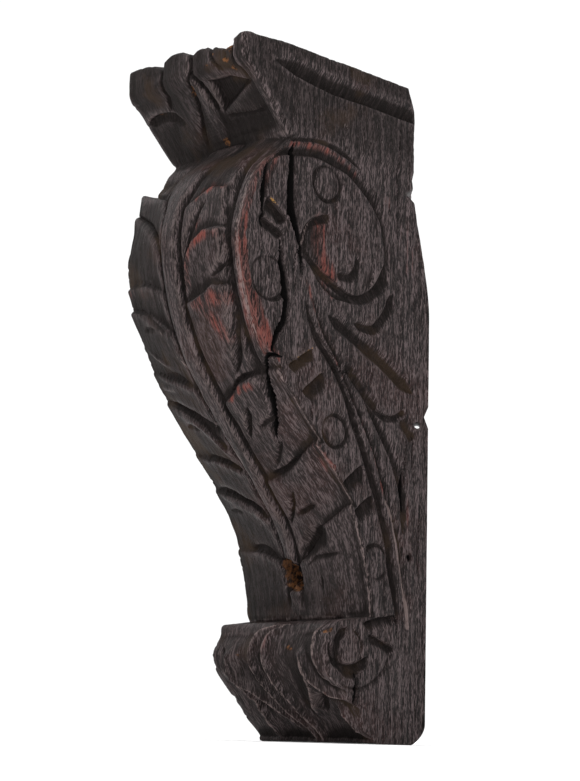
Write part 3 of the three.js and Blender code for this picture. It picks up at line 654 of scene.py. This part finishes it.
# %% Back
torn = np.linspace(0, 1, 9)[1:]
up_torn = rowed(up_of, len(torn))
over_torn = torn * 9 + 0 * up_torn
rag = waver(up_torn, over_torn, 7, 3, 61) + 0.6 * waver(up_torn, over_torn, 2.6, 2, 62)
size = wane(up_of)[:, None]
bulge = -0.16 * size * np.sin(torn * math.pi) - 0.12 * size * rag
bulge *= np.sin(torn * math.pi) ** 0.5
torn_x = half_width(up_of, 1)[:, None] - 1.05 * size * torn + bulge * 0.8
torn_reach = np.maximum(size * (1 - torn) + bulge * 0.5 * (1 - torn), 0)
back_share = np.linspace(0, 1, round(46 / STEP))[1:]
back_x = torn_x[:, -1:] + (-half_width(up_of, -1)[:, None] + 1.5 - torn_x[:, -1:]) * back_share
back_reach = 0.5 * unit(grain_relief(back_x, rowed(up_of, len(back_share)), 71))
back_reach *= np.sin(back_share * math.pi) ** 0.2

columns = [
    (front_x, front_reach, front_up),
    right_corner,
    right[:3],
    (torn_x, torn_reach, up_torn),
    (back_x, back_reach, rowed(up_of, len(back_share))),
    left[:3],
    tuple(part[:, ::-1] for part in left_corner),
]
ring_x, ring_reach, ring_up = (np.concatenate([part[k] for part in columns], 1) for k in range(3))
print("rings", ring_x.shape, "front", len(across), "columns, right side", len(down_side))

# %% [markdown]
# ## Wear
#
# What stands proud gets rubbed, and what lies deep is painted dark, partly as dirt and partly as shade.
# Both come from the carving itself: each place is compared with the average of the places round it.

# %% Wear
def blur(field, size):
    """The average of the places round each one, size cells each way."""
    for axis in (0, 1):
        before, after = (np.take(field, [end] * size, axis) for end in (0, -1))
        total = np.cumsum(np.concatenate([before, field, after], axis), axis)
        n = field.shape[axis]
        ahead = np.take(total, range(2 * size, 2 * size + n), axis)
        field = (ahead - np.take(total, range(n), axis)) / (2 * size)
    return field


# Where the red wood shows most: a line of places, a width and a strength
RED_FRONT = [
    ([(54, 14), (53, 50), (52, 90), (52, 120), (54, 152)], 5, 1.0),
    ([(10, 30), (24, 20), (42, 10)], 6, 0.6),
    ([(19, 54), (26, 48), (35, 47)], 6, 1.1), ([(24, 68), (19, 85), (15, 100)], 3, 1.0),
    ([(22, 81), (29, 77), (39, 77)], 4.5, 1.0), ([(18, 90), (15, 104)], 3.5, 0.9),
    ([(20, 114), (30, 112), (39, 113)], 6, 1.0), ([(24, 118), (30, 126), (34, 138)], 5, 0.9),
    ([(20, 170), (28, 166), (36, 166)], 4, 1.0), ([(-55, 99), (-40, 98), (-28, 103)], 5, 0.6),
    ([(-50, 159), (-38, 160), (-26, 158)], 4, 0.5), ([(9, 60), (9, 110), (12, 170)], 2, 0.5),
    ([(50, 232), (52, 210), (54, 190)], 3, 0.6),
]
RED_SIDE = [
    ([(137, 351), (128, 359), (110, 361), (95, 361), (80, 357), (70, 352)], 4, 1.0),
    ([(132, 356), (140, 343), (148, 325)], 3, 0.9), ([(100, 314), (101, 302), (98, 290), (91, 281)], 8, 1.0),
    ([(88, 270), (98, 278)], 4, 0.8),
    ([(111, 276), (97, 249), (85, 233), (68, 208), (52, 181), (40, 151)], 2.2, 0.9),
    ([(152, 258), (143, 240), (134, 223)], 5, 1.1), ([(40, 340), (28, 330), (22, 300)], 12, 0.5),
    ([(120, 395), (128, 375), (138, 365)], 10, 0.4), ([(20, 150), (14, 120)], 8, 0.4),
]
# Ochre glints painted as highlights on the upper edges of the nicks and on one stud's rim
OCHRE_SIDE = [
    ([(142, 322), (136, 318)], 0.9, 1.0), ([(125, 220.5), (104, 235)], 0.9, 1.0),
    ([(109, 209), (96, 221)], 0.9, 1.0),
    ([(87, 346), (88, 341)], 1.2, 0.7), ([(78, 154), (66, 164)], 0.8, 0.7),
]
# Thin pale lines where an edge has been rubbed bare, with a painted highlight along the crest
PALE_FRONT = [
    ([(-19, 123), (-11.5, 137.5), (-4, 151), (-1.5, 172), (0, 185), (3, 205), (1, 241), (-1, 262)], 0.8, 1.0),
    ([(-37.5, 193), (-17, 195), (-10.5, 205), (-5, 216)], 0.8, 0.9),
    ([(-54, 134), (-36, 140), (-26, 146)], 0.8, 0.9),
    ([(-50, 168.5), (-26, 172), (-9, 185.5), (1, 195)], 0.7, 0.7),
    ([(-45, 233), (-32, 239), (-25, 241)], 0.8, 0.6),
    ([(-47, 243), (-34, 245.5), (-19, 254.5), (-11, 269), (-6, 285)], 0.7, 0.8),
    ([(-56, 101), (-40, 100)], 0.7, 0.9),
    ([(53, 14), (51.5, 40), (51, 80), (50, 112), (52, 142)], 3.0, 0.9),
]
PALE_SIDE = [
    ([(39, 149), (33.5, 139.5), (27.5, 119), (23, 99.5), (19, 82.5), (18, 71.5)], 1.6, 1.9),
    ([(72, 348), (62, 342), (52, 332), (46, 321)], 0.9, 0.8),
    ([(104, 317), (110, 308), (112, 299)], 1.0, 0.9),
    ([(64, 68), (60, 60), (62, 50)], 0.9, 0.7), ([(88, 50), (80, 43)], 0.9, 0.7),
    ([(48, 61), (30, 59)], 0.8, 0.5), ([(103, 224), (96, 229)], 0.8, 0.6),
]
# Each rusty spot: its run, x, t and size
RUST_SPOTS = [
    (0, 41, 3, 3.5), (0, 43, 11, 3.5), (0, 26.5, 9, 1.6), (0, 54, 11, 2.4), (0, 38, 18, 3),
    (0, 22, 17, 1.6), (0, 40, 26, 2.5), (0, 4, 68, 2.5), (0, -1, 33, 2), (0, 1, 29, 1.6),
    (0, -40, 38, 1.4), (3, 53, 14, 3), (3, -28, 30, 2.2), (3, 47, 88, 3), (3, 20, 24, 3),
]
print(len(RED_FRONT) + len(RED_SIDE), "red places,", len(RUST_SPOTS), "rusty spots")

# %% [markdown]
# Each place on the skin now gets seven numbers, which the oak reads later: how worn it is (below 0 in the
# hollows, where dirt and painted shade go), how sharp a crest, how red, how rusty, how deep in a crack,
# how much ochre glint is painted and how rubbed bare, which also carries a painted highlight.

# %% Layers
LAYERS = ["worn", "crest", "red", "rust", "lost", "ochre", "pale"]
CAP_POST_RED = [([(7, 16), (1, 36), (-6, 52)], 2.5, 0.8), ([(52, 2), (51, 40)], 4, 0.4)]


def painted(lines, u, v):
    share = np.zeros(u.shape)
    for places, size, strength in lines:
        share = np.maximum(share, strength * np.exp(-((along(places, u, v)[0] / size) ** 2)))
    return share


def standing(field, size):
    """How far each place stands over the average round it, in millimetres."""
    cells = max(1, round(size / STEP))
    return field - blur(blur(field, cells), cells)


def side_layers(face, darkening, red, ochre, pale):
    """The layers of one side, in their order, from its carving, its cracks and its painted lines."""
    reach, up, carved, crack = face[1:]
    worn = -standing(carved, 5) / 1.6 - 0.2 * carved - darkening
    crest = -standing(carved, 1.6) / 0.6
    red_share, ochre_share, pale_share = (painted(lines, reach, up) for lines in (red, ochre, pale))
    return [worn, crest, red_share, np.zeros(reach.shape), crack / 3, ochre_share, pale_share]


red_front, rust_front, pale_front = (np.zeros(X.shape) for _ in range(3))
for n in (0, 1, 3):
    at = kind == n
    if n == 1:
        red_front[at] = painted(RED_FRONT, X[at], T[at])
        pale_front[at] = painted(PALE_FRONT, X[at], T[at])
        aside = beside_hole(X[at], T[at])
        in_hole = np.hypot(aside, (T[at] - HOLE_T) / 1.4) < 13
        rust_front[at] = unit(front_loss[at] / 3) * in_hole * (1 - ease(1, 6, aside))
    if n == 3:
        # Pale lines along the roll's ridges: rubbed bare wood and a painted highlight.
        pale_front[at] = painted([(line, 1.1, 0.95) for line in ROLL_RIDGES], X[at], T[at])
    if n == 0:
        red_front[at] = painted(CAP_POST_RED, X[at], T[at])
    for where, x, t, size in RUST_SPOTS:
        if where == n:
            ragged = np.hypot(X[at] - x, T[at] - t) / size + 0.5 * waver(X[at], T[at], 2, 2, 91)
            rust_front[at] = np.maximum(rust_front[at], 1 - ease(0.6, 1.2, ragged))
# The front's first layer is above 0 where the carving is proud and rubbed, and below 0 in the hollows, which
# are painted dark as dirt and as shade. It is lowered on the cap and off the rib, stretched on the roll so
# that its flutes come out darker, and set low on the ledge and at the foot of the body.
relief_step = standing(relief, 5) / np.where(X > 3, 1.7, 2.6) - 0.12 * np.clip(-1.5 - relief, 0, 6)
relief_step[kind == 0] -= 1.2
off_the_rib = unit(np.abs(X - 2) - 6) * (X < 46)
relief_step[kind == 1] -= 0.4 + 0.6 * off_the_rib[kind == 1]
relief_step[kind == 3] = 1.7 * relief_step[kind == 3] + 0.45
relief_step[(kind == 2) | ((kind == 1) & (t_of > BODY - 4))] = -1.4
fronts = [relief_step, standing(relief, 1.6) / 0.6, red_front, rust_front, front_loss / 3, 0 * X, pale_front]
around = round(7 / STEP)
# The right side is set darker towards the cap and round its deeper carving, and the left side a little darker
# all over.
side_darkening = 0.9 * ease(CAP_BOTTOM - 30, CAP_BOTTOM + 20, up_of)[:, None]
side_darkening = side_darkening + 0.28 * blur(blur(right[3], around), around)
rights = side_layers(right, side_darkening, RED_SIDE, OCHRE_SIDE, PALE_SIDE)
lefts = side_layers(left, 0.3, [], [], [])
edge_gain = [0.5, 0.3, 0, 0, 0, 0, 0]
layers = {}
for name, front, one, other, gain in zip(LAYERS, fronts, rights, lefts, edge_gain):
    bend = np.repeat(front[:, -1:] + gain, len(turn), 1)
    if name == "pale":
        # On the rounded corners the pale line is rubbed-bare wood and a painted highlight on the arris.
        corner_bare_and_highlight = np.where(kind == 1, np.where(t_of < 150, 0.35, 0.85), np.where(kind == 0, 0.6, 0.5))
        bend = corner_bare_and_highlight[:, None] * np.array([0.3, 1, 0.6, 0.1])
    parts = [front, bend, one, np.full(torn_x.shape, -0.2 * (gain > 0))]
    parts += [np.zeros(back_x.shape), other, np.repeat(front[:, :1] + gain, len(turn), 1)]
    layers[name] = np.concatenate(parts, 1)
print({name: round(float(layer.max()), 2) for name, layer in layers.items()})

# %% [markdown]
# Saw cuts close the block at both ends. The rings shrink to the middle there, and the saw's marks are
# left on them.

# %% Ends and mesh
END_ROUND = 2.5
ring_y = -ring_reach
ring_z = ring_up - HEIGHT / 2
rounding = unit(1 - ring_up / END_ROUND) + unit(1 - (HEIGHT - ring_up) / END_ROUND)
ring_x *= 1 - 0.012 * rounding**2
ring_y = np.minimum(ring_y * (1 - 0.012 * rounding**2), 0)
notch = np.interp(ring_x, *TOP_DROP) + 0.5 * waver(ring_x, ring_up, 3, 40, 83)
notch *= ease(130, 166, ring_reach) * ease(HEIGHT - 14, HEIGHT, ring_up)
ring_z -= notch


def end_cap(ring, toward, depth, seed):
    """Rings that shrink to the middle of an end, with the saw's marks on them."""
    centre = ring.mean(0)
    made = []
    for share in np.linspace(0, 1, 12)[1:-1]:
        inner = mix(ring, centre, share)
        saw = 0.25 + 0.25 * waver(inner[:, 0] + inner[:, 1] * 0.15, inner[:, 1], 3, 60, seed)
        inner[:, 2] = mix(ring[:, 2], centre[2], ease(0, 0.4, share)) - toward * depth * saw
        made.append(inner)
    return made, centre


rings = np.stack([ring_x, ring_y, ring_z], -1)
top_rings, top_centre = end_cap(rings[0], 1, 1.0, 81)
foot_rings, foot_centre = end_cap(rings[-1], -1, 1.0, 82)
grid = np.concatenate([np.array(top_rings[::-1]), rings, np.array(foot_rings)])
points = np.vstack([grid.reshape(-1, 3), top_centre, foot_centre])
points = np.clip(points, box_low + 0.07, box_high - 0.07)
r_count, c_count = grid.shape[:2]
index = np.arange(r_count * c_count).reshape(r_count, c_count)
nexts = np.roll(index, -1, 1)
a, b, c, d = index[:-1].ravel(), index[1:].ravel(), nexts[1:].ravel(), nexts[:-1].ravel()
faces = np.stack([a, b, c, d], 1).tolist()
faces += [[len(points) - 2, int(p), int(q)] for p, q in zip(index[0], nexts[0])]
faces += [[len(points) - 1, int(q), int(p)] for p, q in zip(index[-1], nexts[-1])]

mesh = bpy.data.meshes.new("corbel_skin")
mesh.from_pydata((points / 1000).tolist(), [], faces)
for name, layer in layers.items():
    ends = [np.zeros((len(part), rings.shape[1])) for part in (top_rings, foot_rings)]
    whole = np.concatenate([ends[0], layer, ends[1]]).ravel()
    held = mesh.attributes.new(name, "FLOAT", "POINT")
    held.data.foreach_set("value", np.append(whole, [0, 0]).astype(np.float32))
mesh.update()
corbel = bpy.data.objects.new("corbel", mesh)
bpy.context.scene.collection.objects.link(corbel)
print("full mesh", 2 * len(faces), "triangles")

# %% [markdown]
# Flat stretches don't need millimetre faces, so the mesh is thinned where it is smooth. The hole
# through the back corner, where a wire once passed, is drilled last.

# %% Thinning
def baked(piece):
    """The piece's mesh with its modifiers applied."""
    graph = bpy.context.evaluated_depsgraph_get()
    made = bpy.data.meshes.new_from_object(piece.evaluated_get(graph))
    piece.modifiers.clear()
    piece.data = made
    return made


thin = corbel.modifiers.new("thin", "DECIMATE")
thin.ratio = min(1, TRIANGLES / (2 * len(faces)))
print("thinned to", len(baked(corbel).polygons), "faces")

WIRE_HOLE_RADIUS = 0.0022
WIRE_HOLE_UP = 0.2 - HEIGHT / 2000
DRILL_LENGTH = 0.09
way = Vector((-1, 1, 0)).normalized()
begin = Vector((HALF / 1000, -0.012, WIRE_HOLE_UP)) - way * DRILL_LENGTH / 3
bpy.ops.mesh.primitive_cylinder_add(
    vertices=14, radius=WIRE_HOLE_RADIUS, depth=DRILL_LENGTH, location=begin + way * DRILL_LENGTH / 2)
drill = bpy.context.object
drill.rotation_euler = way.to_track_quat("Z", "X").to_euler()
bore = corbel.modifiers.new("bore", "BOOLEAN")
bore.operation, bore.object = "DIFFERENCE", drill
baked(corbel)
bpy.data.objects.remove(drill)
for polygon in corbel.data.polygons:
    polygon.use_smooth = True
print("drilled,", len(corbel.data.polygons), "faces; layers", sorted(a.name for a in corbel.data.attributes))

# %% [markdown]
# ## Old oak
#
# Oak that has been fumed, waxed and smoked for a long time is not one brown. The ground is nearly
# black. The ridges that hands and dusters reach are a dark mahogany red. Pale lines run with the grain,
# partly dust in the open pores and partly painted sheen on the fibres. Rust and raw wood show in the
# deep places, and ochre glints on the edges of the nicks are painted highlights.

# %% Shader tools
class Wire:
    """One output of a shader node, so that shader sums can be written like ordinary sums."""

    tree = None

    def __init__(self, socket):
        self.socket = socket

    @staticmethod
    def node(kind, inputs=None, pick=0, **settings):
        made = Wire.tree.nodes.new("ShaderNode" + kind)
        for name, value in settings.items():
            setattr(made, name, value)
        for key, value in (inputs or {}).items():
            if isinstance(value, Wire):
                Wire.tree.links.new(value.socket, made.inputs[key])
            else:
                made.inputs[key].default_value = value
        return Wire(made.outputs[pick])

    @staticmethod
    def sum(operation, *terms):
        return Wire.node("Math", dict(enumerate(terms)), operation=operation)


# Sums of wires and numbers, whichever of the two comes first
for name, operation in (("add", "ADD"), ("sub", "SUBTRACT"), ("mul", "MULTIPLY")):
    setattr(Wire, f"__{name}__", lambda a, b, made=operation: Wire.sum(made, a, b))
    setattr(Wire, f"__r{name}__", lambda a, b, made=operation: Wire.sum(made, b, a))


def rise(value, start, end):
    """0 below start, 1 above end, and smooth between them."""
    return Wire.node("MapRange", {0: value, 1: start, 2: end, 3: 0.0, 4: 1.0},
                     interpolation_type="SMOOTHSTEP")


def colours(share, a, b):
    return Wire.node("Mix", {0: share, 6: a, 7: b}, pick=2, data_type="RGBA")


def noise(place, scale, detail=4.0, rough=0.55):
    sockets = {"Vector": place, "Scale": scale, "Detail": detail, "Roughness": rough}
    return Wire.node("TexNoise", sockets)


def stretched(place, x, y, z):
    return Wire.node("VectorMath", {0: place, 1: (x, y, z)}, operation="MULTIPLY")


def across_grain(close, along_it, detail):
    """Upright fibres, closely spaced across the face they lie on and long up it."""
    front = noise(stretched(place, close, close * 0.06, along_it), 1.0, detail, 0.6)
    side = noise(stretched(place, close * 0.06, close, along_it), 1.0, detail, 0.6)
    return mix(front, side, on_side)


def rgb(red, green, blue):
    return (red, green, blue, 1.0)


# %% Oak
oak = bpy.data.materials.new("old_oak")
oak.use_nodes = True
Wire.tree = oak.node_tree
shader = oak.node_tree.nodes["Principled BSDF"]
place = Wire.node("TexCoord", pick=3)
normal = Wire.node("NewGeometry", pick=1)
facing_x = Wire.sum("ABSOLUTE", Wire.node("SeparateXYZ", {0: normal}))
worn, crest, red, rusty, lost, ochre, bare_and_highlight = (
    Wire.node("Attribute", pick=2, attribute_name=name)
    for name in LAYERS)

on_side = rise(facing_x, 0.55, 0.85)
fibre = across_grain(1450, 180, 2.0)
hair = across_grain(2400, 400, 1.0)
streak = across_grain(340, 20, 4.0)
band = noise(stretched(place, 55, 55, 9), 1.0, 3.0)
patch = noise(place, 24.0, 4.0)
speckle = noise(place, 420.0, 3.0)
rough_grain = mix(0.6, 1.0, on_side)
print("grain ready,", len(oak.node_tree.nodes), "nodes")

# %% [markdown]
# The colours go on from the ground up: the dark ground, the pale grain of dust and painted sheen, the
# rubbed red, light on the crests, dirt and painted shade in the hollows, flecks of dust and painted
# sheen, bare edges with a painted highlight, rust, ochre glints painted as highlights and at last the
# black of the cracks.

# %% Colours
ground = colours(band, rgb(0.0165, 0.0112, 0.0106), rgb(0.031, 0.0235, 0.023))
ground = colours(rise(patch, 0.48, 0.66) * 0.7, ground, rgb(0.036, 0.017, 0.0152))
fine = fibre * 0.6 + hair * 0.4 + (streak - 0.5) * 0.35
# Pale grain: dust in the open pores and a painted sheen on the fibres.
pale = rise(fine, 0.505, 0.585) * rough_grain
surface = colours(pale * 0.9, ground, rgb(0.125, 0.095, 0.096))
rubbed = rise(red * 0.95 + worn * 0.12 + (patch - 0.5) * 1.1 + (streak - 0.5) * 1.5, 0.45, 1.05)
red_wood = colours(rise(fine, 0.42, 0.6), rgb(0.024, 0.008, 0.0068), rgb(0.15, 0.052, 0.042))
red_wood = colours(rise(streak, 0.5, 0.64) * 0.7, red_wood, rgb(0.17, 0.034, 0.024))
surface = colours(rubbed * 0.85, surface, red_wood)
lit = rise(crest + (fine - 0.5) * 3 + (speckle - 0.5) * 2, 1.6, 3.2) * 0.3
surface = colours(lit, surface, rgb(0.15, 0.115, 0.11))
pits = rise(0.5 - fine, 0.015, 0.075) * rough_grain
surface = colours(pits * 0.95, surface, rgb(0.005, 0.0034, 0.0032))
# Dirt and painted shade: near black where the carving lies deep.
deep = rise(0 - worn - crest * 0.35, 0.2, 1.4)
surface = colours(deep * 0.85, surface, rgb(0.0065, 0.0046, 0.004))
brown = deep * rise(patch, 0.52, 0.64) * 0.5
surface = colours(brown, surface, rgb(0.04, 0.024, 0.013))
# Light grey flecks along the streaks: dust, and a painted sheen on the fibres.
dust_and_sheen = rise(speckle, 0.68, 0.78) * rise(streak, 0.45, 0.6) * 0.4
surface = colours(dust_and_sheen, surface, rgb(0.26, 0.22, 0.215))
# Bare edges: wood rubbed bare, with a painted highlight along the crests.
bare_edge_and_highlight = rise(bare_and_highlight + (speckle - 0.5) * 0.9 + (fine - 0.5) * 1.6, 0.55, 1.05) * 0.7
surface = colours(bare_edge_and_highlight, surface, rgb(0.2, 0.15, 0.142))
crumbs = colours(rise(speckle, 0.4, 0.62), rgb(0.012, 0.007, 0.005), rgb(0.15, 0.062, 0.022))
surface = colours(rise(rusty * (speckle + 0.5), 0.4, 0.8) * 0.85, surface, crumbs)
# Ochre glints: painted highlights on the edges of the nicks.
surface = colours(rise(ochre * speckle * 2.2, 0.85, 1.25) * 0.85, surface, rgb(0.38, 0.2, 0.05))
black = rise(lost, 0.25, 0.9) * (1 - rise(rusty, 0.1, 0.4))
surface = colours(black, surface, rgb(0.0018, 0.0013, 0.0012))
print("colours laid,", len(oak.node_tree.nodes), "nodes")

# %% [markdown]
# The waxed faces are a little smoother than the darkened hollows and cracks. The finest grain is too
# fine for the mesh, so its relief is left to the shading.

# %% Surface
roughness = 0.5 + (fibre - 0.5) * 0.4 + deep * 0.3 + black * 0.4
height = fine * rough_grain + streak * 0.5 + speckle * 0.12
bump = Wire.node("Bump", {"Strength": 1.0, "Distance": 0.0016, "Height": height})
for name, wire in (("Base Color", surface), ("Roughness", roughness), ("Normal", bump)):
    oak.node_tree.links.new(wire.socket, shader.inputs[name])
shader.inputs["Specular IOR Level"].default_value = 0.13
corbel.data.materials.clear()
corbel.data.materials.append(oak)
print("oak uses", len(oak.node_tree.nodes), "nodes")

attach(corbel, "root")
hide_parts(NODE)

# %% [markdown]
# ## Floor, light and camera
#
# A plain pale sweep and broad soft light, so that only the carving draws shadows. The camera stands low
# and to the right, hardly higher than the foot, and looks up across the corner of the block.

# %% Floor and sky
bpy.ops.mesh.primitive_plane_add(size=14, location=(0, 0, -HEIGHT / 2000))
floor = bpy.context.object
floor.name = "floor"
pale_floor = bpy.data.materials.new("pale_floor")
pale_floor.use_nodes = True
floor.data.materials.append(pale_floor)
Wire.tree = pale_floor.node_tree
sweep = Wire.tree.nodes["Principled BSDF"]
sweep.inputs["Base Color"].default_value = rgb(0.93, 0.93, 0.93)
sweep.inputs["Roughness"].default_value = 0.8
on_floor = Wire.node("TexCoord", pick=3)
far = Wire.node("VectorMath", {0: on_floor}, pick=1, operation="LENGTH")
# The floor glows, a painted light: white from about 0.6 m out and dim within 0.25 m of the middle, which
# paints a soft shadow round the foot.
floor_glow_and_shadow = colours(rise(far, 0.25, 0.6), rgb(0.15, 0.15, 0.15), rgb(1, 1, 1))
Wire.tree.links.new(floor_glow_and_shadow.socket, sweep.inputs["Emission Color"])
sweep.inputs["Emission Strength"].default_value = 0.6

world = bpy.data.worlds.new("studio")
world.use_nodes = True
bpy.context.scene.world = world
Wire.tree = world.node_tree
BRIGHT_SIDE = (-0.66, 0.62, 0.42)
outward = Wire.node("TexCoord")
toward = Wire.node("VectorMath", {0: outward, 1: BRIGHT_SIDE}, pick=1, operation="DOT_PRODUCT")
sky = 0.2 + 0.85 * rise(toward, 0.0, 0.85)
world.node_tree.links.new(sky.socket, world.node_tree.nodes["Background"].inputs["Strength"])
world.node_tree.nodes["Background"].inputs["Color"].default_value = rgb(1, 1, 1)
print("floor and sky ready")

# %% Lights
CORBEL_MIDDLE = (0, -0.08, 0)


def soft_light(name, at, size, power):
    lamp = bpy.data.lights.new(name, "AREA")
    lamp.shape, lamp.size, lamp.energy = "SQUARE", size, power
    made = bpy.data.objects.new(name, lamp)
    bpy.context.scene.collection.objects.link(made)
    made.location = at
    made.rotation_euler = (Vector(CORBEL_MIDDLE) - Vector(at)).to_track_quat("-Z", "Y").to_euler()
    print(name, "light of", power, "W")


soft_light("key", (-0.9, -1.5, 1.5), 0.7, 24)
soft_light("fill", (1.7, -0.9, 0.9), 0.8, 20)
soft_light("crown", (0.3, -0.2, 1.8), 0.8, 12)

# %% Camera
YAW, PITCH, ROLL = 0.8250, 0.18993, 0.02544
forward = Vector((-math.sin(YAW) * math.cos(PITCH), math.cos(YAW) * math.cos(PITCH), math.sin(PITCH)))
level = Vector((math.cos(YAW), math.sin(YAW), 0))
upright = level.cross(forward)
rolled_right = level * math.cos(ROLL) + upright * math.sin(ROLL)
rolled_up = upright * math.cos(ROLL) - level * math.sin(ROLL)
camera = bpy.data.objects.new("camera", bpy.data.cameras.new("camera"))
camera.data.lens = 82.8
camera.data.sensor_width = 36
camera.data.clip_start = 0.05
axes = Matrix((rolled_right, rolled_up, -forward)).transposed().to_4x4()
camera.matrix_world = Matrix.Translation((0.8264, -0.8352, -0.2072)) @ axes
bpy.context.scene.collection.objects.link(camera)
bpy.context.scene.camera = camera
bpy.context.scene.view_settings.view_transform = "Standard"
print("camera at", tuple(round(k, 3) for k in camera.matrix_world.translation))
